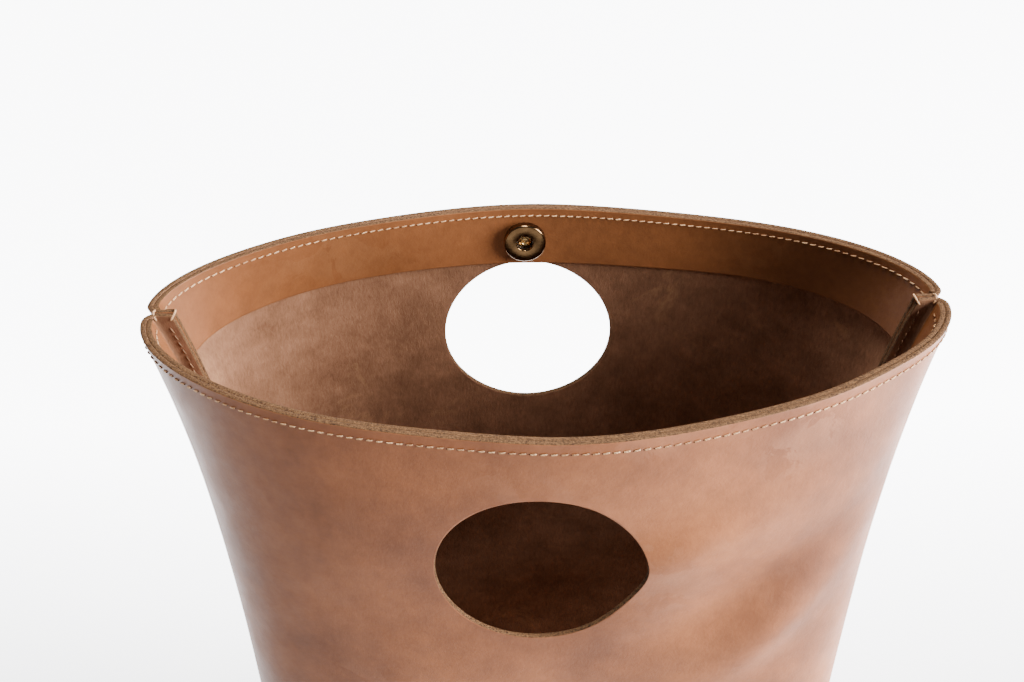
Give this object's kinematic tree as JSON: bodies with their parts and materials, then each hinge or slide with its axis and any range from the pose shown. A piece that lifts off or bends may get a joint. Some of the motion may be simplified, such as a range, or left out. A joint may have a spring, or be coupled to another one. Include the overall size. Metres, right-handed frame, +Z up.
{
  "type": "leather hand bag",
  "caption": "Open-topped leather hand bag with a lens-shaped mouth, round hand holes cut through both walls and a magnetic snap under the rim.",
  "frame": {"origin": "middle of the underside, midway between the side seams and between the two walls", "axes": "+X along the width to the right seam, -Y towards the front wall, +Z up from the base to the mouth"},
  "size_m": [0.3, 0.1534, 0.3],
  "materials": {
    "leather_outside": "smooth waxed tan leather with a suede inner side",
    "leather_facing": "smooth waxed tan leather",
    "thread": "waxed cream sewing thread",
    "brass": "polished",
    "plated_steel": "thin plated sheet",
    "magnet": "dark sintered magnet"
  },
  "bodies": {
    "base": {"base_panel": "leather_outside", "base_stitching": "thread", "left_seam_stitching": "thread", "right_seam_stitching": "thread"},
    "front_wall": {"front_panel": "leather_outside", "front_facing": "leather_facing", "front_rim_stitching": "thread"},
    "back_wall": {"back_panel": "leather_outside", "back_facing": "leather_facing", "back_rim_stitching": "thread"},
    "front_snap": {"stud_disc": "brass", "stud_post": "brass", "stud_prongs": "plated_steel", "stud_washer": "plated_steel"},
    "back_snap": {"socket_shell": "brass", "socket_magnet": "magnet", "socket_keeper": "plated_steel", "socket_rivet": "brass", "socket_prongs": "plated_steel", "socket_washer": "plated_steel"}
  },
  "joints": [
    {"name": "front_close", "type": "hinge", "parent": "base", "child": "front_wall", "pos_m": [0, -0.07107, 0.012], "axis": [-1, 0, 0], "range_deg": [-3, 14.4], "stiffness_Nm_per_rad": 2, "deforming": ["front_panel", "front_facing", "front_rim_stitching"]},
    {"name": "front_snap_rock", "type": "hinge", "parent": "front_wall", "child": "front_snap", "pos_m": [-0.006, -0.07103, 0.284], "axis": [-1, 0, 0], "range_deg": [-14.4, 3]},
    {"name": "back_close", "type": "hinge", "parent": "base", "child": "back_wall", "pos_m": [0, 0.07107, 0.012], "axis": [1, 0, 0], "range_deg": [-3, 14.4], "stiffness_Nm_per_rad": 2, "deforming": ["back_panel", "back_facing", "back_rim_stitching"]},
    {"name": "back_snap_rock", "type": "hinge", "parent": "back_wall", "child": "back_snap", "pos_m": [-0.006, 0.07103, 0.284], "axis": [1, 0, 0], "range_deg": [-14.4, 3]}
  ],
  "couplings": [
    {"joint": "front_snap_rock", "follows": "front_close", "ratio": -1},
    {"joint": "back_snap_rock", "follows": "back_close", "ratio": -1}
  ]
}
